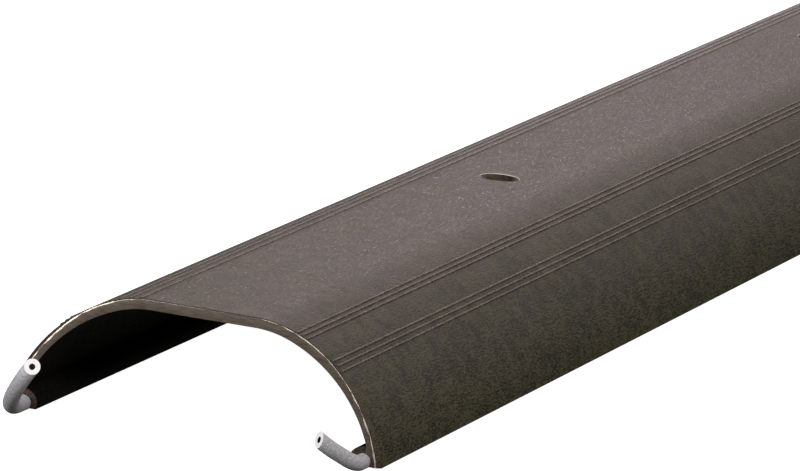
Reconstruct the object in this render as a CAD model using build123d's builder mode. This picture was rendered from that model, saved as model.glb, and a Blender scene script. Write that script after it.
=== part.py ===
from build123d import *

import os
from math import asin, atan2, copysign, cos, degrees, pi, radians, sin, sqrt

# Dome threshold: one arched aluminium bar with a soft tube seal in the channel under each foot.
# X runs along the bar, Y across it (the front foot is at -Y), Z up from the surface it rests on.
# The origin is the middle of the whole part, at the lowest line of the seals. Millimetres.

# Bar: overall size and arch
length = 927.1  # 36 1/2 in
width = 88.9  # 3 1/2 in over the feet
height = 29.0  # from the faces of the feet to the crown
wall = 2.4
arch_reach = 32.25  # each side, from the level top to the outer corner of the foot
shoulder_radius = 26.0  # outside arc from the level top to the flank
flank_radius = 36.9  # outside arc of the flank, down to the foot

# Seals: hollow vinyl tube
seal_diameter = 3.6
seal_bore = 1.4

# Channels that hold the seals
channel_clearance = 0.2  # on the radius, all round the tube
channel_inset = 4.25  # from the outer corner of the foot to the channel's axis
channel_rise = 1.1  # the channel's axis above the faces of the feet
lip_thickness = 1.3

# Ribs along the bar: half-round ridges in groups, each group placed by the distance of its
# innermost rib from the outer corner of the foot, and counted outwards
rib_count = 3
rib_radius = 0.32
rib_height = 0.24
front_shoulder_rib = 22.35
front_shoulder_pitch = 1.2
rear_shoulder_rib = 29.45
rear_shoulder_pitch = 2.5
flank_rib = 13.55
flank_pitch = 1.15

# Screw holes: countersunk for a No. 10 flat-head wood screw
screw_hole = 5.6
countersink = 9.3
countersink_angle = 82.0
hole_count = 3
hole_pitch = 260.35  # 10 1/4 in, which leaves 8 in to each end

# Free ends of the seals, past the sawn end at -X: a lead straight out of the channel, a bend,
# a straight run and a gentler bend at the tip, all in one plane that leans inward and up
front_lead = 1.2
front_bend_radius = 8.3
front_bend = 42.0
front_run = 3.0
front_tip_radius = 21.0
front_tip_bend = 16.0
front_lean = 44.0  # angle of that plane above the horizontal
front_cut = (-0.68, 0.69, 0.25)  # the way the slanting cut faces
rear_lead = 2.6
rear_bend_radius = 17.0
rear_bend = 66.2
rear_run = 0.5
rear_tip_radius = 9.0
rear_tip_bend = 30.0
rear_lean = 56.3
rear_cut = (-0.52, -0.55, 0.65)

# Worked out from the sizes above
seal_radius = seal_diameter / 2
channel_radius = seal_radius + channel_clearance
lip_radius = channel_radius + lip_thickness
channel_y = width / 2 - channel_inset
foot_level = seal_radius - channel_rise  # the seals stand this far below the feet
channel_z = foot_level + channel_rise
crown_level = foot_level + height
crown_flat = width - 2 * arch_reach
cut_allowance = seal_diameter  # tube past the middle of a slanting cut
# The rear seal reaches furthest on its tip arc, where it runs square to the bar
rear_turn = radians(rear_bend)
radius_change = rear_bend_radius - rear_tip_radius
bend_reach = rear_lead + radius_change * sin(rear_turn) + rear_run * cos(rear_turn)
curl_reach = bend_reach + rear_tip_radius + seal_radius
bar_middle = curl_reach / 2
sawn_end = bar_middle - length / 2
far_end = bar_middle + length / 2
below_feet = foot_level - wall  # the arch is drawn down to here, then cut level with the feet

# The flank's centre lies one flank radius from the foot's corner, and the shoulder arc is
# tangent to the flank arc, so it is also one difference of radii from the shoulder's centre
foot_corner = Vector(width / 2, foot_level)
shoulder_centre = Vector(crown_flat / 2, crown_level - shoulder_radius)
radius_step = flank_radius - shoulder_radius
to_corner = foot_corner - shoulder_centre
along = (to_corner.length**2 + radius_step**2 - flank_radius**2) / (2 * to_corner.length)
across = sqrt(radius_step**2 - along**2)
corner_way = to_corner.normalized()
flank_centre = shoulder_centre + corner_way * along + Vector(corner_way.Y, -corner_way.X) * across
blend_way = shoulder_centre - flank_centre
blend_angle = degrees(atan2(blend_way.Y, blend_way.X))
blend_y = shoulder_centre.X + shoulder_radius * cos(radians(blend_angle))


def draw_arch(inset):
    """Draw the closed outline of the arch at one inset from the outer skin."""
    radius = flank_radius - inset
    foot_angle = degrees(asin((below_feet - flank_centre.Y) / radius))
    flank = CenterArc(flank_centre, radius, foot_angle, blend_angle - foot_angle)
    shoulder = CenterArc(shoulder_centre, shoulder_radius - inset, blend_angle, 90 - blend_angle)
    Line(shoulder @ 1, (0, crown_level - inset))
    Line(flank @ 0, (0, below_feet))
    mirror(about=Plane.YZ)


def rib_centre(y):
    """Centre of the rib at one distance from the middle of the bar, front negative.

    It lies on the skin's normal, far enough under the skin for the rib to stand up rib_height.
    """
    reach = abs(y)
    centre, radius = (flank_centre, flank_radius) if reach > blend_y else (shoulder_centre, shoulder_radius)
    normal = asin((reach - centre.X) / radius)
    depth = radius - (rib_radius - rib_height)
    return (copysign(centre.X + depth * sin(normal), y), centre.Y + depth * cos(normal))


def rib_row(side, first, pitch):
    """Centres of one group of ribs, counted outwards from the first."""
    start = width / 2 - first
    return [rib_centre(side * (start + number * pitch)) for number in range(rib_count)]


# Bar: the arch with its lips and ribs, cut level with the feet, then the screw holes
with BuildPart() as threshold_bar:
    with BuildSketch(Plane.YZ.offset(sawn_end)) as section:
        with BuildLine():
            draw_arch(0)
        make_face()
        with Locations(*rib_row(-1, front_shoulder_rib, front_shoulder_pitch)):
            Circle(rib_radius)
        with Locations(*rib_row(-1, flank_rib, flank_pitch)):
            Circle(rib_radius)
        with Locations(*rib_row(1, rear_shoulder_rib, rear_shoulder_pitch)):
            Circle(rib_radius)
        with Locations(*rib_row(1, flank_rib, flank_pitch)):
            Circle(rib_radius)
        with BuildLine():
            draw_arch(wall)
        make_face(mode=Mode.SUBTRACT)
        with Locations((-channel_y, channel_z), (channel_y, channel_z)):
            Circle(lip_radius)
        with Locations((-channel_y, channel_z), (channel_y, channel_z)):
            Circle(channel_radius, mode=Mode.SUBTRACT)
        with Locations((0, foot_level)):
            Rectangle(2 * width, 2 * width, align=(Align.CENTER, Align.MAX), mode=Mode.SUBTRACT)
    extrude(amount=length)
    with Locations(Plane.XY.offset(crown_level)):
        with Locations((bar_middle, 0)):
            with GridLocations(hole_pitch, 0, hole_count, 1):
                CounterSinkHole(
                    radius=screw_hole / 2,
                    counter_sink_radius=countersink / 2,
                    depth=2 * wall,
                    counter_sink_angle=countersink_angle,
                )
threshold_bar.part.label = "threshold_bar"


def seal_plane(side, lean):
    """Plane of one seal's route: origin at the channel's mouth, x out of it, y inward and up."""
    outward = Vector(-1, 0, 0)
    curl = Vector(0, -side * cos(radians(lean)), sin(radians(lean)))
    return Plane(origin=(sawn_end, side * channel_y, channel_z), x_dir=outward, z_dir=outward.cross(curl))


def draw_route(lead, bend_radius, bend, run, tip_radius, tip_bend):
    """Draw one seal's middle line on its plane and return the middle of the cut at its tip."""
    channel_run = Line((-length, 0), (lead, 0))
    first_bend = JernArc(channel_run @ 1, channel_run % 1, bend_radius, bend)
    free_run = Line(first_bend @ 1, first_bend @ 1 + (first_bend % 1) * run)
    tip = JernArc(free_run @ 1, free_run % 1, tip_radius, tip_bend)
    Line(tip @ 1, tip @ 1 + (tip % 1) * cut_allowance)
    return tip @ 1


# Front seal: one tube along the whole channel, its free end curled out past the sawn end
with BuildPart() as front_seal:
    with BuildLine(seal_plane(-1, front_lean)) as front_route:
        front_tip = draw_route(
            front_lead, front_bend_radius, front_bend, front_run, front_tip_radius, front_tip_bend
        )
    with BuildSketch(Plane(origin=(far_end, -channel_y, channel_z), z_dir=(-1, 0, 0))):
        Circle(seal_radius)
        Circle(seal_bore / 2, mode=Mode.SUBTRACT)
    sweep(path=front_route.wire())
    split(bisect_by=Plane(origin=front_tip, z_dir=front_cut), keep=Keep.BOTTOM)
front_seal.part.label = "front_seal"

# Rear seal: the same tube in the rear channel, bent further out and up
with BuildPart() as rear_seal:
    with BuildLine(seal_plane(1, rear_lean)) as rear_route:
        rear_tip = draw_route(
            rear_lead, rear_bend_radius, rear_bend, rear_run, rear_tip_radius, rear_tip_bend
        )
    with BuildSketch(Plane(origin=(far_end, channel_y, channel_z), z_dir=(-1, 0, 0))):
        Circle(seal_radius)
        Circle(seal_bore / 2, mode=Mode.SUBTRACT)
    sweep(path=rear_route.wire())
    split(bisect_by=Plane(origin=rear_tip, z_dir=rear_cut), keep=Keep.BOTTOM)
rear_seal.part.label = "rear_seal"

os.makedirs("parts", exist_ok=True)
for piece in (threshold_bar, front_seal, rear_seal):
    export_step(piece.part, f"parts/{piece.part.label}.step")
    box = piece.part.bounding_box()
    print(piece.part.label, round(piece.part.volume), "mm3", box)

ring = (seal_radius**2 - (seal_bore / 2) ** 2) * pi
for name, route, piece in (("front", front_route, front_seal), ("rear", rear_route, rear_seal)):
    print(name, "route", round(route.wire().length, 2), "tube / section", round(piece.part.volume / ring, 2))
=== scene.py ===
"""Looks of an arched aluminium door threshold with a hollow vinyl seal under each foot.

The bar and its two seals are rebuilt finely enough to show their ribs, filed edge and cut ends,
each inside the CAD body that it stands for. X runs along the bar, Y across it, Z up, in metres.
"""

import logging
import math
from collections.abc import Callable
from dataclasses import dataclass
from enum import Enum
from typing import Any

import bmesh
import bpy
from mathutils import Matrix, Quaternion, Vector, noise

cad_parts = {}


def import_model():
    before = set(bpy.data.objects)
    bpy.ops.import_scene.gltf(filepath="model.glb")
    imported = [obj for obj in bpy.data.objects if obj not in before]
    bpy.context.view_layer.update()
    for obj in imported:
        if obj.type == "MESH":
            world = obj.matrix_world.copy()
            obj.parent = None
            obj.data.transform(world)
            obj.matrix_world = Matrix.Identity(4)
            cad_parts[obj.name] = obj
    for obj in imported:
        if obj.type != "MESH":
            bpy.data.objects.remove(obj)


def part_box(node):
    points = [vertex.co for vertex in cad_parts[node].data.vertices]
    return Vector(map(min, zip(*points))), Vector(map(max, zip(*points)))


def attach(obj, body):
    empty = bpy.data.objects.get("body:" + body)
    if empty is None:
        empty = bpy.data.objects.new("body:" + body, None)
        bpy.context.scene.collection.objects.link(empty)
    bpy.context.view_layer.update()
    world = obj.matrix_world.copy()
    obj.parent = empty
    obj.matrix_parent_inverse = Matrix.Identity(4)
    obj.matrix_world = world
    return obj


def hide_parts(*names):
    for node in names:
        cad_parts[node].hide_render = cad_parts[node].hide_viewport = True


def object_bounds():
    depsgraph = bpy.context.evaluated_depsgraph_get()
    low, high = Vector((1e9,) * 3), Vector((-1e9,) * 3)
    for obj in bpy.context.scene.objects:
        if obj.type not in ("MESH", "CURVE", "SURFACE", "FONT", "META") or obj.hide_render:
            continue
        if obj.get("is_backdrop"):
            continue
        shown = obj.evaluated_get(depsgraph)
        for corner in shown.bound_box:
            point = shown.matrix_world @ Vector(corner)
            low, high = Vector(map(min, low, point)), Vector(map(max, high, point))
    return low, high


LOG = logging.getLogger("threshold")
MM = 0.001
SKIN_SLACK = 0.02 * MM
X_AXIS = Vector((1.0, 0.0, 0.0))
Z_AXIS = Vector((0.0, 0.0, 1.0))
Verts = list[bmesh.types.BMVert]
Edges = list[bmesh.types.BMEdge]
Faces = list[bmesh.types.BMFace]


class Side(Enum):
    """The two long sides of the bar, by the sign of Y."""

    FRONT = -1
    REAR = 1


class BarFinish(Enum):
    """Material slots of the bar's mesh."""

    SKIN = 0
    SAWN_FACE = 1
    BARE_EDGE = 2
    COUNTERSINK = 3
    # Near-black inside finish: painted shade under the arch.
    UNDERSIDE = 4
    # Rib tops: a smoother rubbed film with a lighter colour that is painted highlight.
    RIB = 5
    # Filed band of the sawn edge, also used as painted shade on the channel lips' cut faces.
    FILED = 6


class SealFinish(Enum):
    """Material slots of a seal's mesh."""

    SKIN = 0
    # Cut ends, coloured near white as painted light.
    CUT_FACE = 1
    # Near-black bore: painted shade.
    BORE = 2


# ------------------------------------------------------------------------------------------
# Colours, nodes and mesh objects


def linear(hex_colour: str) -> tuple[float, float, float, float]:
    """Turn an sRGB hex colour into linear values.

    Args:
        hex_colour: Six hex digits, such as "8c8078".

    Returns:
        Linear red, green, blue and an alpha of 1.
    """
    shares = [int(hex_colour[i : i + 2], 16) / 255 for i in (0, 2, 4)]
    red, green, blue = (s / 12.92 if s <= 0.04045 else ((s + 0.055) / 1.055) ** 2.4 for s in shares)
    return (red, green, blue, 1.0)


def cycles_per_metre(size_mm: float) -> float:
    """Noise scale whose features are about size_mm across."""
    return 1000.0 / size_mm


def add_node(
    material: bpy.types.Material,
    kind: str,
    settings: dict[str, Any] | None = None,
    inputs: dict[str, Any] | None = None,
) -> bpy.types.Node:
    """Add one node to a material, set it and link it.

    Args:
        material: Material that gets the node.
        kind: Node type, such as "ShaderNodeTexNoise".
        settings: Node properties by name.
        inputs: Socket values by name; an output socket is linked instead of set.

    Returns:
        The new node.
    """
    tree = material.node_tree
    node = tree.nodes.new(kind)
    for name, value in (settings or {}).items():
        setattr(node, name, value)
    for name, value in (inputs or {}).items():
        if isinstance(value, bpy.types.NodeSocket):
            tree.links.new(value, node.inputs[name])
        else:
            node.inputs[name].default_value = value
    return node


def blank_material(name: str) -> bpy.types.Material:
    """Make a material with an empty node tree."""
    material = bpy.data.materials.new(name)
    material.use_nodes = True
    material.node_tree.nodes.clear()
    return material


def mesh_object(
    name: str,
    mesh: bmesh.types.BMesh,
    materials: list[bpy.types.Material],
    sharp_degrees: float,
) -> bpy.types.Object:
    """Turn a bmesh into a smooth-shaded object with crisp edges.

    Args:
        name: Name of the object and its mesh.
        mesh: Finished bmesh, freed here.
        materials: Materials in the order of the mesh's slots.
        sharp_degrees: Edges that turn by more than this stay crisp.

    Returns:
        The linked object, at the origin.
    """
    for face in mesh.faces:
        face.smooth = True
    for edge in mesh.edges:
        edge.smooth = len(edge.link_faces) == 2 and edge.calc_face_angle(0.0) < math.radians(sharp_degrees)
    data = bpy.data.meshes.new(name)
    mesh.to_mesh(data)
    mesh.free()
    for material in materials:
        data.materials.append(material)
    thing = bpy.data.objects.new(name, data)
    bpy.context.scene.collection.objects.link(thing)
    return thing


def set_finish(faces: Faces, finish: Enum) -> None:
    """Give some faces one material slot."""
    for face in faces:
        face.material_index = finish.value


def pattern(
    material: bpy.types.Material,
    place: bpy.types.NodeSocket,
    size_mm: float,
    detail: float,
    roughness: float = 0.5,
    stretch: tuple[float, float, float] | None = None,
    turn: float = 0.0,
) -> bpy.types.NodeSocket:
    """Add a noise whose features have a real size.

    Args:
        material: Material that gets it.
        place: Coordinates in metres.
        size_mm: Size of its features.
        detail: How many finer layers it has.
        roughness: Strength of the finer layers.
        stretch: Scale along X, Y and Z before the noise; below 1 draws the features out.
        turn: Angle in degrees that it is turned by about X.

    Returns:
        The noise's value.
    """
    if stretch:
        settled = {"Vector": place, "Rotation": (math.radians(turn), 0.0, 0.0), "Scale": stretch}
        place = add_node(material, "ShaderNodeMapping", inputs=settled).outputs["Vector"]
    scale = cycles_per_metre(size_mm)
    inputs = {"Vector": place, "Scale": scale, "Detail": detail, "Roughness": roughness}
    return add_node(material, "ShaderNodeTexNoise", inputs=inputs).outputs["Fac"]


def two_tones(
    material: bpy.types.Material, value: bpy.types.NodeSocket, dark: str, light: str, spread: float
) -> bpy.types.NodeSocket:
    """Turn a noise into a colour between two tones.

    Args:
        material: Material that gets it.
        value: The noise.
        dark: Colour of its low values in sRGB hex.
        light: Colour of its high values.
        spread: Distance from the noise's middle value to either tone.

    Returns:
        The colour.
    """
    node = add_node(material, "ShaderNodeValToRGB", inputs={"Fac": value})
    for element, place, tone in zip(node.color_ramp.elements, (0.5 - spread, 0.5 + spread), (dark, light)):
        element.position = place
        element.color = linear(tone)
    return node.outputs["Color"]


def bump(
    material: bpy.types.Material,
    height: bpy.types.NodeSocket,
    strength: float,
    depth_mm: float,
    over: bpy.types.NodeSocket | None = None,
) -> bpy.types.NodeSocket:
    """Turn a noise into a fine relief.

    Args:
        material: Material that gets it.
        height: The noise.
        strength: Strength of the relief.
        depth_mm: Its depth.
        over: Coarser relief that it lies on.

    Returns:
        The normal.
    """
    inputs = {"Height": height, "Strength": strength, "Distance": depth_mm * MM}
    if over:
        inputs["Normal"] = over
    return add_node(material, "ShaderNodeBump", inputs=inputs).outputs["Normal"]


def finish_shader(material: bpy.types.Material, inputs: dict[str, Any]) -> bpy.types.Material:
    """Add the surface shader and the output, and give the finished material back."""
    shader = add_node(material, "ShaderNodeBsdfPrincipled", inputs=inputs)
    add_node(material, "ShaderNodeOutputMaterial", inputs={"Surface": shader.outputs["BSDF"]})
    return material


# ------------------------------------------------------------------------------------------
# Finishes


@dataclass(frozen=True)
class AnodisedBronze:
    """Dark bronze anodised aluminium, extruded then etched matt: a satin film with a fine grain.

    Attributes:
        name: Name of the material.
        dark: Colour of its darker specks in sRGB hex.
        light: Colour of its lighter specks.
        grain_mm: Size of the etched grain.
        cloud_mm: Size of the faint clouds in the film.
        line_mm: Distance between the die lines.
        roughness: Middle roughness.
        metallic: How much of the metal shows through the film.
        gloss: Strength of the film's own reflection.
    """

    name: str = "aluminium_anodised_dark_bronze"
    dark: str = "232115"
    light: str = "5c563c"
    grain_mm: float = 0.42
    cloud_mm: float = 5.0
    line_mm: float = 0.7
    roughness: float = 0.38
    metallic: float = 0.5
    gloss: float = 0.5

    def material(self) -> bpy.types.Material:
        """Build the finish. The etched grain breaks the light into a fine speckle, and faint
        die lines run along the bar, so the skin looks drawn and not painted.

        Returns:
            The material.
        """
        made = blank_material(self.name)
        place = add_node(made, "ShaderNodeTexCoord").outputs["Object"]
        grain = pattern(made, place, self.grain_mm, detail=2.0, roughness=0.6, stretch=(0.3, 1.0, 1.0))
        cloud = pattern(made, place, self.cloud_mm, detail=3.0, roughness=0.55)
        lines = pattern(made, place, self.line_mm, detail=2.0, stretch=(0.02, 1.0, 1.0))
        mixed = {"Factor": 0.25, "A": grain, "B": cloud}
        tone = add_node(made, "ShaderNodeMix", settings={"data_type": "FLOAT"}, inputs=mixed)
        uneven = {
            "Value": grain,
            "From Min": 0.3,
            "From Max": 0.7,
            "To Min": self.roughness - 0.16,
            "To Max": self.roughness + 0.18,
        }
        gloss = add_node(made, "ShaderNodeMapRange", inputs=uneven)
        drawn = bump(made, lines, strength=0.12, depth_mm=0.02)
        return finish_shader(
            made,
            {
                "Base Color": two_tones(made, tone.outputs["Result"], self.dark, self.light, 0.08),
                "Metallic": self.metallic,
                "Roughness": gloss.outputs["Result"],
                "Specular IOR Level": self.gloss,
                "Normal": bump(made, grain, strength=1.0, depth_mm=0.2, over=drawn),
            },
        )


@dataclass(frozen=True)
class SawnBronze:
    """Anodised aluminium on a sawn face: duller than the skin, with fine tooth lines across it.

    Attributes:
        name: Name of the material.
        dark: Colour of its darker lines in sRGB hex.
        light: Colour of its lighter lines.
        tooth_mm: Distance between the tooth lines.
        roughness: Roughness.
        metallic: How much of the metal shows through the film.
    """

    name: str = "aluminium_sawn_then_anodised"
    dark: str = "473f36"
    light: str = "61574d"
    tooth_mm: float = 0.25
    roughness: float = 0.55
    metallic: float = 0.6

    def material(self) -> bpy.types.Material:
        """Build the finish. The tooth lines catch the light in short streaks.

        Returns:
            The material.
        """
        made = blank_material(self.name)
        place = add_node(made, "ShaderNodeTexCoord").outputs["Object"]
        teeth = pattern(made, place, self.tooth_mm, detail=4.0, stretch=(1.0, 0.12, 1.0), turn=28.0)
        return finish_shader(
            made,
            {
                "Base Color": two_tones(made, teeth, self.dark, self.light, 0.15),
                "Metallic": self.metallic,
                "Roughness": self.roughness,
                "Normal": bump(made, teeth, strength=0.2, depth_mm=0.02),
            },
        )


@dataclass(frozen=True)
class CutAluminium:
    """Bare aluminium where a tool has gone through the film: bright, with tool marks.

    Attributes:
        name: Name of the material.
        dark: Colour of its darker marks in sRGB hex.
        light: Colour of its lighter marks.
        mark_mm: Size of the tool marks.
        roughness: Roughness.
        metallic: How much of it is clean metal.
    """

    name: str
    dark: str
    light: str
    mark_mm: float
    roughness: float
    metallic: float = 1.0

    def material(self) -> bpy.types.Material:
        """Build the finish. Uneven tool marks make the bright metal sparkle in places.

        Returns:
            The material.
        """
        made = blank_material(self.name)
        place = add_node(made, "ShaderNodeTexCoord").outputs["Object"]
        marks = pattern(made, place, self.mark_mm, detail=3.0, roughness=0.6)
        return finish_shader(
            made,
            {
                "Base Color": two_tones(made, marks, self.dark, self.light, 0.1),
                "Metallic": self.metallic,
                "Roughness": self.roughness,
                "Normal": bump(made, marks, strength=0.2, depth_mm=0.02),
            },
        )


@dataclass(frozen=True)
class SoftVinyl:
    """Plasticised PVC, extruded as a tube: matt, slightly mottled, a little waxy.

    Attributes:
        name: Name of the material.
        dark: Colour of its darker patches in sRGB hex.
        light: Colour of its lighter patches.
        mottle_mm: Size of the patches.
        roughness: Roughness.
        sheen: Strength of the soft sheen.
    """

    name: str
    dark: str
    light: str
    mottle_mm: float
    roughness: float
    sheen: float

    def material(self) -> bpy.types.Material:
        """Build the finish. A faint mottle and a soft sheen make it read as a soft plastic.

        Returns:
            The material.
        """
        made = blank_material(self.name)
        place = add_node(made, "ShaderNodeTexCoord").outputs["Object"]
        mottle = pattern(made, place, self.mottle_mm, detail=3.0, roughness=0.6)
        return finish_shader(
            made,
            {
                "Base Color": two_tones(made, mottle, self.dark, self.light, 0.15),
                "Roughness": self.roughness,
                "Sheen Weight": self.sheen,
                "Sheen Roughness": 0.4,
                "Normal": bump(made, mottle, strength=0.2, depth_mm=0.04),
            },
        )


def extrude_loop(mesh: bmesh.types.BMesh, edges: Edges) -> tuple[Edges, Verts, Faces]:
    """Extrude loops of edges, in place.

    Args:
        mesh: Mesh that they are in.
        edges: The loops.

    Returns:
        The edges and vertices of the new loops, and the faces between old and new.
    """
    made = bmesh.ops.extrude_edge_only(mesh, edges=edges)["geom"]
    verts = [item for item in made if isinstance(item, bmesh.types.BMVert)]
    fresh = set(verts)
    ring = [item for item in made if isinstance(item, bmesh.types.BMEdge) and set(item.verts) <= fresh]
    return ring, verts, [item for item in made if isinstance(item, bmesh.types.BMFace)]


def verts_of(edges: Edges) -> Verts:
    """The vertices of some edges, each once and in a fixed order."""
    return list(dict.fromkeys(vert for edge in edges for vert in edge.verts))


def bridge_flat(
    mesh: bmesh.types.BMesh,
    outer: Edges,
    inner: Edges,
    way: Vector,
) -> Faces:
    """Join two loops of one plane, one inside the other, without a twist.

    The inner loop is held out of the plane while they are joined, so that both run the same way.

    Args:
        mesh: Mesh that they are in.
        outer: Edges of the outer loop.
        inner: Edges of the inner loop.
        way: Direction out of the plane.

    Returns:
        The faces between them.
    """
    verts = verts_of(inner)
    rest = [vert.co.copy() for vert in verts]
    bmesh.ops.translate(mesh, verts=verts, vec=way * MM)
    faces = bmesh.ops.bridge_loops(mesh, edges=outer + inner)["faces"]
    for vert, place in zip(verts, rest):
        vert.co = place
    return faces


# ------------------------------------------------------------------------------------------
# The bar


def circle_crossing(
    first_centre: Vector, first_radius: float, second_centre: Vector, second_radius: float
) -> Vector:
    """Find the upper crossing of two circles in the YZ plane.

    Args:
        first_centre: Middle of the first circle.
        first_radius: Its radius.
        second_centre: Middle of the second circle.
        second_radius: Its radius.

    Returns:
        The crossing that lies higher.
    """
    gap = second_centre - first_centre
    along = (gap.length_squared + first_radius**2 - second_radius**2) / (2 * gap.length)
    across = math.sqrt(first_radius**2 - along**2)
    way = gap.normalized()
    side = X_AXIS.cross(way)
    if side.z < 0:
        side = -side
    return first_centre + way * along + side * across


def angle_of(point: Vector, centre: Vector) -> float:
    """Angle of a point about a centre, from +Y towards +Z, between -90 and 270 degrees."""
    turn = math.atan2(point.z - centre.z, point.y - centre.y)
    return turn + math.tau if turn < -math.pi / 2 else turn


@dataclass
class OutlinePen:
    """Draws an outline in a YZ plane by extruding and spinning one vertex.

    Attributes:
        mesh: Mesh that gets the outline.
        tip: Vertex that the pen stands on.
        step: Longest stretch between two vertices of an arc.
    """

    mesh: bmesh.types.BMesh
    tip: bmesh.types.BMVert
    step: float

    def line_to(self, y: float, z: float) -> None:
        """Draw a straight stretch.

        Args:
            y: Where it ends, across the bar.
            z: Where it ends, upwards.
        """
        made = bmesh.ops.extrude_vert_indiv(self.mesh, verts=[self.tip])
        self.tip = made["verts"][0]
        self.tip.co = Vector((self.tip.co.x, y, z))

    def arc(self, centre: Vector, turn: float) -> None:
        """Draw an arc by spinning the tip about a centre.

        Args:
            centre: Middle of the arc.
            turn: Angle in radians, positive from +Y towards +Z.
        """
        middle = Vector((self.tip.co.x, centre.y, centre.z))
        run = abs(turn) * (self.tip.co - middle).length
        parts = max(3, math.ceil(run / self.step))
        made = bmesh.ops.spin(
            self.mesh, geom=[self.tip], cent=middle, axis=X_AXIS, angle=turn, steps=parts, use_duplicate=False
        )
        self.tip = next(item for item in made["geom_last"] if isinstance(item, bmesh.types.BMVert))

    def arc_to(self, centre: Vector, angle: float) -> None:
        """Draw an arc up to an angle about its centre.

        Args:
            centre: Middle of the arc.
            angle: Angle in radians where the arc ends.
        """
        turn = angle - angle_of(self.tip.co, centre)
        if abs(turn) > 1e-5:
            self.arc(centre, turn)


@dataclass
class ArchSection:
    """Sizes of the bar's section, the same all along it.

    Attributes:
        width: Over the two feet.
        foot_level: Height of the faces of the feet.
        height: From the faces of the feet to the crown.
        wall: Thickness of the wall.
        crown_flat: Width of the flat on top.
        shoulder_radius: Outer radius of the arc beside the flat.
        flank_radius: Outer radius of the arc down to the foot.
        channel_inset: From the foot's outer corner in to the middle of the channel.
        channel_rise: From the face of the foot up to the middle of the channel.
        channel_radius: Radius of the channel.
        lip_radius: Outer radius of the lip round it.
        rib_radius: Radius of a rib's round top.
        rib_sink: How far the middle of that round lies below the skin.
        hole_patch: Half the side of the flat square that a hole is drilled in.
        shoulder_ribs: Distances of the shoulder ribs from the middle line in mm, front then rear.
        flank_ribs: The same for the ribs on either flank.
    """

    width: float
    foot_level: float
    height: float = 29.0 * MM
    wall: float = 2.4 * MM
    crown_flat: float = 24.4 * MM
    shoulder_radius: float = 26.0 * MM
    flank_radius: float = 36.9 * MM
    channel_inset: float = 4.25 * MM
    channel_rise: float = 1.1 * MM
    channel_radius: float = 2.0 * MM
    lip_radius: float = 3.3 * MM
    rib_radius: float = 0.32 * MM
    rib_sink: float = 0.08 * MM
    hole_patch: float = 7.0 * MM
    shoulder_ribs: tuple[tuple[float, ...], tuple[float, ...]] = ((22.1, 23.3, 24.5), (15.0, 17.5, 20.0))
    flank_ribs: tuple[float, ...] = (30.9, 32.05, 33.2)

    def __post_init__(self) -> None:
        """Work out the crown and the centre of the flank, a tangent arc through the foot's corner."""
        self.crown = self.foot_level + self.height
        corner = Vector((0.0, self.width / 2, self.foot_level))
        shoulder = self.shoulder_centre(Side.REAR)
        step = self.flank_radius - self.shoulder_radius
        away = corner - shoulder
        along = (away.length_squared + step**2 - self.flank_radius**2) / (2 * away.length)
        across = math.sqrt(step**2 - along**2)
        way = away.normalized()
        self.flank_middle = shoulder + way * along + Vector((0.0, way.z, -way.y)) * across
        self.blend = math.atan2(shoulder.z - self.flank_middle.z, shoulder.y - self.flank_middle.y)

    def shoulder_centre(self, side: Side) -> Vector:
        """Middle of one shoulder's arc."""
        return Vector((0.0, side.value * self.crown_flat / 2, self.crown - self.shoulder_radius))

    def flank_centre(self, side: Side) -> Vector:
        """Middle of one flank's arc."""
        return Vector((0.0, side.value * self.flank_middle.y, self.flank_middle.z))

    def channel_centre(self, side: Side) -> Vector:
        """Middle of one seal channel."""
        return Vector(
            (0.0, side.value * (self.width / 2 - self.channel_inset), self.foot_level + self.channel_rise)
        )

    def blend_angle(self, side: Side) -> float:
        """Angle about the flank's middle where flank and shoulder meet."""
        return self.blend if side is Side.REAR else math.pi - self.blend

    def skin_arc(self, y: float) -> tuple[Vector, float]:
        """Middle and radius of the skin's arc above one distance from the bar's middle line."""
        side = Side.REAR if y > 0 else Side.FRONT
        blend_y = self.crown_flat / 2 + self.shoulder_radius * math.cos(self.blend)
        if abs(y) > blend_y:
            return self.flank_centre(side), self.flank_radius
        return self.shoulder_centre(side), self.shoulder_radius

    def skin_height(self, point: Vector) -> tuple[float, Vector]:
        """Height of a point above the ribless outer skin.

        Args:
            point: Point on the section.

        Returns:
            The height, negative inside the wall, and the skin's outward normal there.
        """
        if abs(point.y) <= self.crown_flat / 2:
            return point.z - self.crown, Z_AXIS.copy()
        side = Side.REAR if point.y > 0 else Side.FRONT
        centre, radius = self.shoulder_centre(side), self.shoulder_radius
        turn = angle_of(point, centre)
        if abs(turn - math.pi / 2) > math.pi / 2 - self.blend:
            centre, radius = self.flank_centre(side), self.flank_radius
        away = Vector((0.0, point.y - centre.y, point.z - centre.z))
        return away.length - radius, away.normalized()

    def ribs(self, side: Side) -> list[float]:
        """Distances of one side's ribs from the middle line, foot first, in metres with their sign."""
        shoulder = self.shoulder_ribs[0 if side is Side.FRONT else 1]
        return [side.value * reach * MM for reach in sorted(self.flank_ribs + shoulder, reverse=True)]

    def draw_rib(self, pen: OutlinePen, y: float) -> None:
        """Draw the skin up to one rib, and then over the rib.

        Args:
            pen: Pen that stands on the skin, on the rear side of the rib.
            y: The rib's distance from the middle line, with its sign.
        """
        centre, radius = self.skin_arc(y)
        deep = radius - self.rib_sink
        spread = math.acos((radius**2 + deep**2 - self.rib_radius**2) / (2 * radius * deep))
        middle_angle = math.acos((y - centre.y) / radius)
        pen.arc_to(centre, middle_angle - spread)
        middle = centre + Vector((0.0, math.cos(middle_angle), math.sin(middle_angle))) * deep
        half = math.acos((radius * math.cos(spread) - deep) / self.rib_radius)
        coarse, pen.step = pen.step, self.rib_radius / 4
        pen.arc(middle, 2 * half)
        pen.step = coarse

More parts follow.
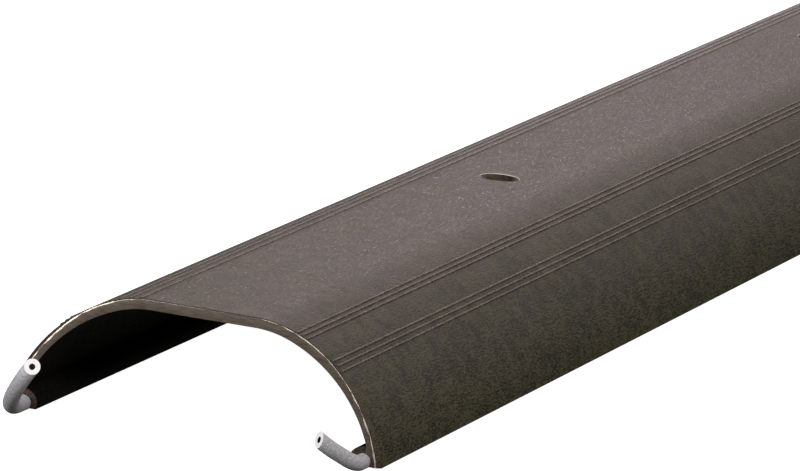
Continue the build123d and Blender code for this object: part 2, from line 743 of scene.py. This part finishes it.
    def draw_skin(self, pen: OutlinePen) -> None:
        """Draw the outer skin from the rear foot over the crown to the front foot."""
        blend_y = self.crown_flat / 2 + self.shoulder_radius * math.cos(self.blend)
        rear, front = self.ribs(Side.REAR), self.ribs(Side.FRONT)[::-1]
        for y in [y for y in rear if abs(y) > blend_y]:
            self.draw_rib(pen, y)
        pen.arc_to(self.flank_centre(Side.REAR), self.blend_angle(Side.REAR))
        for y in [y for y in rear if abs(y) <= blend_y]:
            self.draw_rib(pen, y)
        pen.arc_to(self.shoulder_centre(Side.REAR), math.pi / 2)
        for y in (self.hole_patch, -self.hole_patch, -self.crown_flat / 2):
            pen.line_to(y, self.crown)
        for y in [y for y in front if abs(y) <= blend_y]:
            self.draw_rib(pen, y)
        pen.arc_to(self.shoulder_centre(Side.FRONT), self.blend_angle(Side.FRONT))
        for y in [y for y in front if abs(y) > blend_y]:
            self.draw_rib(pen, y)
        corner = Vector((0.0, -self.width / 2, self.foot_level))
        pen.arc_to(self.flank_centre(Side.FRONT), angle_of(corner, self.flank_centre(Side.FRONT)))

    def draw_foot(self, pen: OutlinePen, side: Side, outside_first: bool) -> None:
        """Draw the face of one foot, its seal channel and the lip round the channel.

        Args:
            pen: Pen that stands on the foot's outer corner, or on the inner wall above the lip.
            side: Which foot.
            outside_first: True to draw from the outer corner inwards.
        """
        channel = self.channel_centre(side)
        mouth = math.sqrt(self.channel_radius**2 - self.channel_rise**2)
        heel = math.sqrt(self.lip_radius**2 - self.channel_rise**2)
        over = math.tau - 2 * math.acos(self.channel_rise / self.channel_radius)
        root = circle_crossing(
            channel, self.lip_radius, self.flank_centre(side), self.flank_radius - self.wall
        )
        heel_angle = math.atan2(-self.channel_rise, -side.value * heel)
        climb = angle_of(root, channel) - heel_angle
        if outside_first:
            pen.line_to(channel.y + side.value * mouth, self.foot_level)
            pen.arc(channel, -over)
            pen.line_to(channel.y - side.value * heel, self.foot_level)
            pen.arc(channel, climb)
        else:
            pen.arc(channel, heel_angle + math.tau - angle_of(root, channel))
            pen.line_to(channel.y - side.value * mouth, self.foot_level)
            pen.arc(channel, -over)
            pen.line_to(side.value * self.width / 2, self.foot_level)

    def draw(self, mesh: bmesh.types.BMesh, x: float, step: float) -> None:
        """Draw the whole closed outline, ribs, lips and channels included.

        Args:
            mesh: Mesh that gets the outline.
            x: Where along the bar.
            step: Longest stretch between two vertices of an arc.
        """
        start = mesh.verts.new((x, self.width / 2, self.foot_level))
        pen = OutlinePen(mesh, start, step)
        self.draw_skin(pen)
        self.draw_foot(pen, Side.FRONT, outside_first=True)
        pen.arc_to(self.flank_centre(Side.FRONT), self.blend_angle(Side.FRONT))
        pen.arc_to(self.shoulder_centre(Side.FRONT), math.pi / 2)
        under = self.crown - self.wall
        for y in (-self.hole_patch, self.hole_patch, self.crown_flat / 2):
            pen.line_to(y, under)
        pen.arc_to(self.shoulder_centre(Side.REAR), self.blend_angle(Side.REAR))
        channel = self.channel_centre(Side.REAR)
        inner = self.flank_radius - self.wall
        root = circle_crossing(channel, self.lip_radius, self.flank_centre(Side.REAR), inner)
        pen.arc_to(self.flank_centre(Side.REAR), angle_of(root, self.flank_centre(Side.REAR)))
        self.draw_foot(pen, Side.REAR, outside_first=False)
        bmesh.ops.remove_doubles(mesh, verts=mesh.verts[:], dist=1e-7)


@dataclass
class EdgeBreak:
    """How the outer edge of a sawn end is filed.

    Attributes:
        crown: Width of the filed band at the crown.
        foot: Width of the filed band at the feet.
        bright: Width of the strip of bare metal along its inner edge.
        far: Width of the plain chamfer at the far end.
        band_slope: How far the band runs along the bar for each unit of its width.
        strip_slope: The same for the strip.
        deepest: Deepest below the skin that an edge of the strip lies.
        inside: What is deeper than this below the skin belongs to the inside.
    """

    crown: float = 0.22 * MM
    foot: float = 0.95 * MM
    bright: float = 0.26 * MM
    far: float = 0.3 * MM
    band_slope: float = 0.9
    strip_slope: float = 0.3
    deepest: float = 1.6 * MM
    inside: float = 1.7 * MM

    def band(self, point: Vector, section: ArchSection) -> float:
        """Width of the filed band at one point of the skin.

        Args:
            point: Point on the outer skin.
            section: The bar's section.

        Returns:
            The width, a little uneven as a file leaves it.
        """
        share = min(1.0, max(0.0, (abs(point.y) / (section.width / 2) - 0.55) / 0.4))
        ease = share * share * (3 - 2 * share)
        uneven = noise.noise(Vector((0.0, point.y, point.z)) * 1100.0) * 0.05 * MM
        return self.crown + (self.foot - self.crown) * ease + uneven

    def strip(self, point: Vector, section: ArchSection) -> float:
        """Width of the bright strip at one point: a hair at the crown, broken into nicks lower down.

        Args:
            point: Point on the outer skin.
            section: The bar's section.

        Returns:
            The width.
        """
        share = min(1.0, max(0.0, (abs(point.y) / (section.width / 2) - 0.3) / 0.35))
        nick = noise.noise(Vector((3.0, point.y * 420.0, point.z * 420.0)))
        return self.bright * (0.14 + 0.86 * share) * min(1.4, max(0.12, 0.7 + 1.6 * nick))


@dataclass
class Countersink:
    """A countersunk screw hole.

    Attributes:
        rim: Radius of the cone at the crown.
        bore: Radius of the screw's clearance hole.
        angle: Full angle of the cone in degrees.
        lip: Width of the bright broken edge round the rim.
        sides: Straight pieces that each ring is made of.
    """

    rim: float = 4.65 * MM
    bore: float = 2.8 * MM
    angle: float = 82.0
    lip: float = 0.2 * MM
    sides: int = 64

    def rings(self, crown: float, wall: float) -> list[tuple[float, float]]:
        """Radius and height of each ring, from the crown down.

        Args:
            crown: Height of the bar's top.
            wall: Thickness of the wall there.

        Returns:
            The rings in order.
        """
        cone = (self.rim - self.bore) / math.tan(math.radians(self.angle / 2))
        return [
            (self.rim + self.lip, crown),
            (self.rim, crown - 0.6 * self.lip),
            (self.bore, crown - cone),
            (self.bore, crown - wall + 0.08 * MM),
            (self.bore + 0.08 * MM, crown - wall),
        ]


@dataclass
class ThresholdBar:
    """The arched bar: one extrusion with ribs, seal channels and countersunk holes.

    Attributes:
        section: Its section.
        sawn_end: X of the sawn end in view.
        far_end: X of the other end.
        edge: How the sawn edges are filed.
        hole: Its screw holes.
        hole_pitch: Distance between the holes.
        hole_count: How many there are.
        step: Longest stretch between two vertices round the section.
    """

    section: ArchSection
    sawn_end: float
    far_end: float
    edge: EdgeBreak
    hole: Countersink
    hole_pitch: float = 260.35 * MM
    hole_count: int = 3
    step: float = 0.55 * MM

    def hole_places(self) -> list[float]:
        """X of each hole."""
        middle = (self.sawn_end + self.far_end) / 2
        first = middle - self.hole_pitch * (self.hole_count - 1) / 2
        return [first + self.hole_pitch * number for number in range(self.hole_count)]

    def stations(self) -> list[float]:
        """X of each ring of the shell after the first, towards the far end."""
        reach = self.section.hole_patch
        beside = [place + way * reach for place in self.hole_places() for way in (-1, 1)]
        return sorted(beside) + [self.far_end - self.edge.far]

    def extrude_to(
        self, mesh: bmesh.types.BMesh, edges: Edges, x: float
    ) -> tuple[Edges, Verts, Faces]:
        """Extrude a ring of edges along the bar.

        Args:
            mesh: The bar's mesh.
            edges: Ring to extrude.
            x: Where the new ring goes.

        Returns:
            The new ring's edges and vertices, and the faces between the rings.
        """
        ring, verts, faces = extrude_loop(mesh, edges)
        for vert in verts:
            vert.co.x = x
        return ring, verts, faces

    def file_ring(
        self, verts: Verts, inset_of: Callable[[Vector], float]
    ) -> set[tuple[float, float]]:
        """Move the skin's vertices of one ring inwards and leave the rest.

        Args:
            verts: The ring.
            inset_of: Function from a point to how far it goes in.

        Returns:
            Where the moved vertices now are, across and up.
        """
        return self.inset([v for v in verts if self.section.skin_height(v.co)[0] > -SKIN_SLACK], inset_of)

    def inset(
        self, verts: Verts, inset_of: Callable[[Vector], float]
    ) -> set[tuple[float, float]]:
        """Move vertices to a depth below the outer skin.

        Args:
            verts: The vertices.
            inset_of: Function from a point of the skin to the depth there.

        Returns:
            Where they now are, across and up.
        """
        for vert in verts:
            height, normal = self.section.skin_height(vert.co)
            base = vert.co - normal * height
            vert.co = base - normal * inset_of(base)
            vert.co.z = max(vert.co.z, self.section.foot_level)
        return {(vert.co.y, vert.co.z) for vert in verts}

    def sawn_face(self, mesh: bmesh.types.BMesh, ring: Edges) -> None:
        """Add the filed band, the bright strip and the face of the sawn end.

        Args:
            mesh: The bar's mesh.
            ring: Ring of edges behind the filed band.
        """
        section, edge = self.section, self.edge
        bands = [(vert, section.skin_height(vert.co)) for vert in verts_of(ring)]
        outer, verts, filed = self.extrude_to(mesh, ring, self.sawn_end)
        moved = self.file_ring(verts, lambda base: edge.band(base, section))
        for vert, (height, normal) in bands:
            if height > -SKIN_SLACK:
                vert.co.x += edge.band_slope * edge.band(vert.co - normal * height, section)
        inner, verts, strip = self.extrude_to(mesh, outer, self.sawn_end)
        cut = [vert for vert in verts if (vert.co.y, vert.co.z) in moved]
        self.inset(cut, lambda base: edge.band(base, section) + edge.strip(base, section))
        for vert in verts_of(outer):
            if section.skin_height(vert.co)[0] > -edge.deepest:
                vert.co.x += edge.strip_slope * edge.strip(vert.co, section)
        set_finish(filed, BarFinish.FILED)
        set_finish(strip, BarFinish.BARE_EDGE)
        # Filed and strip faces deep inside the section take the near-black painted shade.
        for face in filed + strip:
            if section.skin_height(face.calc_center_median())[0] < -edge.inside:
                set_finish([face], BarFinish.UNDERSIDE)
        face = bmesh.ops.contextual_create(mesh, geom=inner)["faces"]
        set_finish(face, BarFinish.SAWN_FACE)
        for side in Side:
            self.part_lip(mesh, verts, side)

    def part_lip(self, mesh: bmesh.types.BMesh, verts: Verts, side: Side) -> None:
        """Part the cut face of a channel's lip from the wall's, and give it the darker filed finish as
        painted shade.

        Args:
            mesh: The bar's mesh.
            verts: Ring of vertices round the sawn face.
            side: Which channel.
        """
        section = self.section
        channel, flank = section.channel_centre(side), section.flank_centre(side)
        root = circle_crossing(channel, section.lip_radius, flank, section.flank_radius - section.wall)
        facing = channel + (root - channel).normalized() * section.channel_radius
        ends = [
            min(verts, key=lambda vert: math.hypot(vert.co.y - place.y, vert.co.z - place.z))
            for place in (root, facing)
        ]
        split = bmesh.ops.connect_verts(mesh, verts=ends)["edges"]
        for edge in split:
            # The lip's cut face takes the darker filed finish: painted shade.
            set_finish([min(edge.link_faces, key=lambda face: face.calc_area())], BarFinish.FILED)

    def far_face(self, mesh: bmesh.types.BMesh, ring: Edges) -> None:
        """Add the chamfer and the face of the far end.

        Args:
            mesh: The bar's mesh.
            ring: Ring of edges before the chamfer.
        """
        inner, verts, chamfer = self.extrude_to(mesh, ring, self.far_end)
        self.file_ring(verts, lambda base: self.edge.far)
        face = bmesh.ops.contextual_create(mesh, geom=inner)["faces"]
        set_finish(face, BarFinish.SAWN_FACE)

    def open_patch(
        self, mesh: bmesh.types.BMesh, place: float, level: float
    ) -> Edges:
        """Take one flat patch of the shell away and divide its border finely.

        Args:
            mesh: The bar's mesh.
            place: X of the patch's middle.
            level: Height of the patch.

        Returns:
            The border's edges.
        """
        middle = Vector((place, 0.0, level))
        face = min(mesh.faces, key=lambda item: (item.calc_center_median() - middle).length)
        border = face.edges[:]
        reach = max((vert.co - middle).length for vert in face.verts) + 0.01 * MM
        bmesh.ops.delete(mesh, geom=[face], context="FACES_ONLY")
        bmesh.ops.subdivide_edges(mesh, edges=border, cuts=self.hole.sides // 4 - 1)
        return [
            edge
            for edge in mesh.edges
            if edge.is_boundary
            and all((v.co - middle).length < reach and abs(v.co.z - level) < 0.01 * MM for v in edge.verts)
        ]

    def drill(self, mesh: bmesh.types.BMesh, place: float) -> None:
        """Make one countersunk hole through the crown.

        Args:
            mesh: The bar's mesh.
            place: X of the hole.
        """
        section, hole = self.section, self.hole
        top = self.open_patch(mesh, place, section.crown)
        bottom = self.open_patch(mesh, place, section.crown - section.wall)
        rings = hole.rings(section.crown, section.wall)
        turned = Matrix.Translation((place, 0.0, rings[0][1])) @ Matrix.Rotation(math.pi / 4, 4, "Z")
        circle = bmesh.ops.create_circle(mesh, segments=hole.sides, radius=rings[0][0], matrix=turned)
        edges = list(dict.fromkeys(edge for vert in circle["verts"] for edge in vert.link_edges))
        bridge_flat(mesh, top, edges, -Z_AXIS)
        for number, (radius, level) in enumerate(rings[1:]):
            edges, verts, faces = extrude_loop(mesh, edges)
            for vert in verts:
                away = Vector((vert.co.x - place, vert.co.y)).normalized() * radius
                vert.co = Vector((place + away.x, away.y, level))
            set_finish(faces, BarFinish.BARE_EDGE if number == 0 else BarFinish.COUNTERSINK)
        bridge_flat(mesh, bottom, edges, Z_AXIS)

    def dress(self, mesh: bmesh.types.BMesh) -> None:
        """Give the inner wall a near-black finish as painted shade, and the tops of the ribs a lighter finish
        that is partly painted highlight.
        """
        section = self.section
        for face in mesh.faces:
            height, _ = section.skin_height(face.calc_center_median())
            if face.material_index == BarFinish.SKIN.value and height < -0.8 * section.wall:
                set_finish([face], BarFinish.UNDERSIDE)
            # Rib tops get the lighter finish, partly painted highlight.
            elif face.material_index == BarFinish.SKIN.value and height > 0.05 * MM:
                set_finish([face], BarFinish.RIB)

    def build(self) -> bpy.types.Object:
        """Build the bar's mesh and dress it.

        Returns:
            The bar.
        """
        mesh = bmesh.new()
        self.section.draw(mesh, self.sawn_end, self.step)
        ring = mesh.edges[:]
        first = ring
        for x in self.stations():
            ring, _, _ = self.extrude_to(mesh, ring, x)
        self.far_face(mesh, ring)
        self.sawn_face(mesh, first)
        for place in self.hole_places():
            self.drill(mesh, place)
        bmesh.ops.recalc_face_normals(mesh, faces=mesh.faces[:])
        self.dress(mesh)
        skin = AnodisedBronze().material()
        bare = CutAluminium("aluminium_filed_bare", "b5b0a2", "f0ecdf", 0.35, 0.45, metallic=0.6).material()
        cone = CutAluminium("aluminium_countersunk", "3a3428", "6a6150", 2.5, 0.16).material()
        # Near-black, matt and without metal for the inner wall: painted shade under the arch, not the film's
        # own colour.
        under = AnodisedBronze(
            "aluminium_anodised_inside", "0c0b0a", "141211", roughness=0.6, metallic=0.0, gloss=0.1
        ).material()
        # Lighter, more metallic rib tops: partly a smoother rubbed film, partly painted highlight that
        # brightens the rib lines.
        rib = AnodisedBronze(
            "aluminium_anodised_rubbed_rib", "5c5145", "85796a", roughness=0.27, metallic=0.8
        ).material()
        # Filed band's own darker film, also laid on the channel lips' cut faces as painted shade.
        filed = AnodisedBronze("aluminium_filed_then_anodised", "2a2118", "46392b", roughness=0.5).material()
        finishes = [skin, SawnBronze().material(), bare, cone, under, rib, filed]
        return mesh_object("bar_extrusion", mesh, finishes, sharp_degrees=28.0)


# ------------------------------------------------------------------------------------------
# The seals


@dataclass
class FreeEnd:
    """Route of a seal past the sawn end, in a plane that leans inwards and up.

    Attributes:
        lead: Straight stretch out of the channel.
        bend_radius: Radius of the first bend.
        bend: Its angle in degrees.
        run: Straight stretch after it.
        tip_radius: Radius of the bend at the tip.
        tip_bend: Its angle in degrees.
        lean: Angle of the plane above the horizontal.
        cut: The way that the slanting cut faces.
    """

    lead: float
    bend_radius: float
    bend: float
    run: float
    tip_radius: float
    tip_bend: float
    lean: float
    cut: tuple[float, float, float]


@dataclass
class TubeSeal:
    """One hollow vinyl tube along a channel, its free end curled out past the sawn end.

    Attributes:
        side: Which channel it lies in.
        centre: Middle line of the channel, where the sawn end is.
        far_end: X of its other end.
        route: Its free end.
        radius: Outer radius.
        bore: Radius of the bore.
        sides: Straight pieces that each wall is made of.
    """

    side: Side
    centre: Vector
    far_end: float
    route: FreeEnd
    radius: float = 1.8 * MM
    bore: float = 0.7 * MM
    sides: int = 48

    def extend(
        self, mesh: bmesh.types.BMesh, edges: Edges, move: Vector, parts: int
    ) -> Edges:
        """Extrude the tube's open end straight on.

        Args:
            mesh: The seal's mesh.
            edges: Edges of its open end.
            move: How far and which way.
            parts: Rings that the stretch is divided into.

        Returns:
            Edges of the new open end.
        """
        for _ in range(parts):
            edges, verts, _ = extrude_loop(mesh, edges)
            bmesh.ops.translate(mesh, verts=verts, vec=move / parts)
        return edges

    def bend(
        self,
        mesh: bmesh.types.BMesh,
        edges: Edges,
        centre: Vector,
        axis: Vector,
        degrees: float,
    ) -> Edges:
        """Spin the tube's open end round a bend.

        Args:
            mesh: The seal's mesh.
            edges: Edges of its open end.
            centre: Middle of the bend.
            axis: Axis of the bend.
            degrees: Angle of the bend.

        Returns:
            Edges of the new open end.
        """
        made = bmesh.ops.spin(
            mesh,
            geom=verts_of(edges) + edges,
            cent=centre,
            axis=axis,
            angle=math.radians(degrees),
            steps=max(4, round(degrees / 2.5)),
            use_duplicate=False,
        )
        return [item for item in made["geom_last"] if isinstance(item, bmesh.types.BMEdge)]

    def draw_end(self, mesh: bmesh.types.BMesh) -> tuple[Edges, Faces]:
        """Draw the tube's far end, cut square across.

        Args:
            mesh: The seal's mesh.

        Returns:
            Edges of both walls there, and the faces of the cut between them.
        """
        turned = Matrix.Rotation(math.pi / 2, 4, "Y")
        start = Matrix.Translation((self.far_end, self.centre.y, self.centre.z)) @ turned
        bmesh.ops.create_circle(mesh, segments=self.sides, radius=self.radius, matrix=start)
        outer = mesh.edges[:]
        bmesh.ops.create_circle(mesh, segments=self.sides, radius=self.bore, matrix=start)
        inner = mesh.edges[self.sides :]
        return outer + inner, bridge_flat(mesh, outer, inner, X_AXIS)

    def draw_walls(self, mesh: bmesh.types.BMesh, edges: Edges) -> Vector:
        """Draw both walls of the tube along its whole route, open at the tip.

        Args:
            mesh: The seal's mesh.
            edges: Edges of both walls at the far end.

        Returns:
            The middle of the cut at its tip.
        """
        lean = math.radians(self.route.lean)
        curl = Vector((0.0, -self.side.value * math.cos(lean), math.sin(lean)))
        axis = (-X_AXIS).cross(curl)
        place, way = self.centre.copy(), -X_AXIS
        cut = set(mesh.faces)
        edges = self.extend(mesh, edges, Vector(((place.x - self.far_end) / 24, 0.0, 0.0)), 1)
        halfway = (self.radius + self.bore) / 2
        # Faces inside the bore take the near-black painted shade.
        for face in set(mesh.faces) - cut:
            middle = face.calc_center_median()
            reach = math.hypot(middle.y - place.y, middle.z - place.z)
            set_finish([face], SealFinish.SKIN if reach > halfway else SealFinish.BORE)
        edges = self.extend(mesh, edges, Vector(((place.x - self.far_end) * 23 / 24, 0.0, 0.0)), 23)
        edges = self.extend(mesh, edges, way * self.route.lead, 2)
        place += way * self.route.lead
        for bend_radius, degrees, straight in (
            (self.route.bend_radius, self.route.bend, self.route.run),
            (self.route.tip_radius, self.route.tip_bend, 0.0),
        ):
            middle = place + axis.cross(way) * bend_radius
            turn = Quaternion(axis, math.radians(degrees))
            edges = self.bend(mesh, edges, middle, axis, degrees)
            place = middle + turn @ (place - middle)
            way = turn @ way
            if straight:
                edges = self.extend(mesh, edges, way * straight, 2)
                place += way * straight
        self.extend(mesh, edges, way * 2 * self.radius, 3)
        return place

    def cut_tip(self, mesh: bmesh.types.BMesh, place: Vector) -> Faces:
        """Cut the tip off at a slant.

        Args:
            mesh: The seal's mesh.
            place: Middle of the cut.

        Returns:
            Faces of the cut.
        """
        facing = Vector(self.route.cut).normalized()
        near = [v for v in mesh.verts if (v.co - place).length < 10 * MM]
        geom = near + [e for v in near for e in v.link_edges] + [f for v in near for f in v.link_faces]
        made = bmesh.ops.bisect_plane(
            mesh, geom=list(dict.fromkeys(geom)), plane_co=place, plane_no=facing, clear_outer=True
        )
        rim = [item for item in made["geom_cut"] if isinstance(item, bmesh.types.BMEdge)]
        halfway = (self.radius + self.bore) / 2
        inner = [edge for edge in rim if (edge.verts[0].co - place).length < halfway]
        outer = [edge for edge in rim if edge not in inner]
        return bridge_flat(mesh, outer, inner, facing)

    def build(self) -> bpy.types.Object:
        """Build the tube's mesh and dress it.

        Returns:
            The seal.
        """
        mesh = bmesh.new()
        edges, closed = self.draw_end(mesh)
        place = self.draw_walls(mesh, edges)
        closed += self.cut_tip(mesh, place)
        # The cut faces take the near-white painted light.
        set_finish(closed, SealFinish.CUT_FACE)
        bmesh.ops.recalc_face_normals(mesh, faces=mesh.faces[:])
        skin = SoftVinyl("vinyl_extruded_grey", "98989d", "c6c6cc", 0.45, 0.55, 0.08).material()
        # Near-white cut ends, far lighter than the grey vinyl: painted light on the faces that catch the
        # lamps.
        cut = SoftVinyl("vinyl_knife_cut", "f2f2f4", "fbfbfb", 0.4, 0.6, 0.0).material()
        # Near-black inside the tube: painted shade down the narrow bore, not the vinyl's colour.
        bore = SoftVinyl("vinyl_inside_bore", "131316", "1c1c20", 0.5, 0.7, 0.0).material()
        return mesh_object(f"seal_tube_{self.side.name.lower()}", mesh, [skin, cut, bore], sharp_degrees=35.0)


# ------------------------------------------------------------------------------------------
# The studio


@dataclass
class Studio:
    """Pale floor, soft lights and camera.

    Attributes:
        low: Lowest corner of the model.
        sawn_end: X of the sawn end, which the camera is placed from.
        foot_level: Height of the faces of the feet.
        heading: Angle in degrees that the camera looks across the bar by.
        dip: Angle that it looks down by.
        roll: Angle that it is tilted by.
        camera_place: Where it stands, from the middle of the sawn end at foot level.
        lens_mm: Its focal length on a 36 mm sensor.
        room_low: Colour of the surroundings at the horizon in sRGB hex.
        room_high: Their colour higher up.
        room_strength: Their brightness.
    """

    low: Vector
    sawn_end: float
    foot_level: float
    lens_mm: float = 442.8
    heading: float = 18.27
    dip: float = 10.94
    roll: float = 5.81
    camera_place: tuple[float, float, float] = (-2.00379, -0.70507, 0.46025)
    room_low: str = "5e5e52"
    room_high: str = "f6ecf2"
    room_strength: float = 0.5

    def camera(self) -> None:
        """Place the camera at the far left, low, looking along and across the bar."""
        heading, dip = math.radians(self.heading), math.radians(self.dip)
        forward = Vector(
            (math.cos(heading) * math.cos(dip), math.sin(heading) * math.cos(dip), -math.sin(dip))
        )
        data = bpy.data.cameras.new("studio_camera")
        data.lens = self.lens_mm
        data.sensor_width = 36.0
        data.clip_end = 50.0
        camera = bpy.data.objects.new("studio_camera", data)
        bpy.context.scene.collection.objects.link(camera)
        camera.location = Vector((self.sawn_end, 0.0, self.foot_level)) + Vector(self.camera_place)
        camera.rotation_mode = "QUATERNION"
        level = forward.to_track_quat("-Z", "Y")
        camera.rotation_quaternion = level @ Quaternion(Z_AXIS, math.radians(self.roll))
        bpy.context.scene.camera = camera

    def floor(self) -> None:
        """Lay a wide pale floor under the lowest line of the seals."""
        mesh = bmesh.new()
        bmesh.ops.create_grid(mesh, x_segments=8, y_segments=8, size=6.0)
        bmesh.ops.translate(mesh, verts=mesh.verts[:], vec=(0.0, 0.0, self.low.z))
        paper = {
            "Base Color": linear("d8d8d8"),
            "Roughness": 0.9,
            "Emission Color": linear("ffffff"),
            "Emission Strength": 1.0,
        }
        made = finish_shader(blank_material("paper_white_matt"), paper)
        floor = mesh_object("studio_floor", mesh, [made], sharp_degrees=30.0)
        floor.visible_diffuse = False
        floor.visible_glossy = False
        floor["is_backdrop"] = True

    def lamp(
        self, name: str, place: tuple[float, float, float], size: float, watts: float, colour: str
    ) -> None:
        """Hang one soft square light that faces the middle of the bar.

        Args:
            name: Name of the light.
            place: Where it hangs.
            size: Length of its sides.
            watts: Its power.
            colour: Its colour in sRGB hex.
        """
        data = bpy.data.lights.new(name, "AREA")
        data.shape = "SQUARE"
        data.size = size
        data.energy = watts
        data.color = linear(colour)[:3]
        light = bpy.data.objects.new(name, data)
        bpy.context.scene.collection.objects.link(light)
        light.location = place
        light.rotation_mode = "QUATERNION"
        light.rotation_quaternion = (-Vector(place)).to_track_quat("-Z", "Y")

    def lights(self) -> None:
        """Hang the lights and set the pale surroundings."""
        world = bpy.data.worlds.new("studio_surroundings")
        world.use_nodes = True
        tree = world.node_tree
        way = tree.nodes.new("ShaderNodeTexCoord")
        split = tree.nodes.new("ShaderNodeSeparateXYZ")
        ramp = tree.nodes.new("ShaderNodeValToRGB")
        ramp.color_ramp.elements[0].position = 0.0
        ramp.color_ramp.elements[0].color = linear(self.room_low)
        ramp.color_ramp.elements[1].position = 0.3
        ramp.color_ramp.elements[1].color = linear(self.room_high)
        tree.links.new(way.outputs["Generated"], split.inputs["Vector"])
        tree.links.new(split.outputs["Z"], ramp.inputs["Fac"])
        tree.links.new(ramp.outputs["Color"], tree.nodes["Background"].inputs["Color"])
        tree.nodes["Background"].inputs["Strength"].default_value = self.room_strength
        bpy.context.scene.world = world
        self.lamp("softbox_top", (0.5, 0.6, 2.0), 1.4, 5.0, "fff4fa")
        self.lamp("softbox_end", (3.2, 0.85, 1.0), 0.9, 2.0, "ffe8f2")
        self.lamp("spot_overhead", (-0.9, 0.15, 2.0), 0.15, 2.5, "ffffff")
        self.lamp("softbox_front", (-1.9, -1.5, 1.5), 0.9, 32.0, "fffdf6")
        self.lamp("fill_low_rear", (-2.0, 1.2, 0.55), 1.0, 24.0, "fffcfc")
        self.lamp("rim_low_end", (3.0, 1.15, 0.14), 0.35, 0.8, "fff0f6")

    def build(self) -> None:
        """Set up the whole studio."""
        self.camera()
        self.floor()
        self.lights()
        bpy.context.scene.view_settings.view_transform = "Standard"


# ------------------------------------------------------------------------------------------
# Assembly


def place_piece(piece: bpy.types.Object, node: str, body: str) -> None:
    """Put one finished piece in place of its CAD node and report it.

    Args:
        piece: The finished piece.
        node: CAD node that it stands for.
        body: CAD body that it moves with.
    """
    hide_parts(node)
    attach(piece, body)
    LOG.info("%s stands for %s and rides on %s, %d faces", piece.name, node, body, len(piece.data.polygons))


def main() -> None:
    """Build every piece in order, then the studio."""
    logging.basicConfig(level=logging.INFO, format="%(name)s: %(message)s")
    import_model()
    cad_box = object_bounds()
    low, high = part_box("threshold_bar")
    section = ArchSection(width=high.y - low.y, foot_level=low.z)
    bar = ThresholdBar(section, sawn_end=low.x, far_end=high.x, edge=EdgeBreak(), hole=Countersink())
    place_piece(bar.build(), "threshold_bar", "bar")
    ends = {
        Side.FRONT: FreeEnd(
            lead=1.2 * MM,
            bend_radius=8.3 * MM,
            bend=42.0,
            run=3.0 * MM,
            tip_radius=21.0 * MM,
            tip_bend=16.0,
            lean=44.0,
            cut=(-0.68, 0.69, 0.25),
        ),
        Side.REAR: FreeEnd(
            lead=2.6 * MM,
            bend_radius=17.0 * MM,
            bend=66.2,
            run=0.5 * MM,
            tip_radius=9.0 * MM,
            tip_bend=30.0,
            lean=56.3,
            cut=(-0.52, -0.55, 0.65),
        ),
    }
    for side, route in ends.items():
        centre = section.channel_centre(side)
        centre.x = low.x
        seal = TubeSeal(side, centre, high.x, route)
        name = side.name.lower()
        place_piece(seal.build(), f"{name}_seal", f"{name}_tube")
    Studio(cad_box[0], low.x, section.foot_level).build()
    LOG.info("studio set, boxes written")


if __name__ == "__main__":
    main()
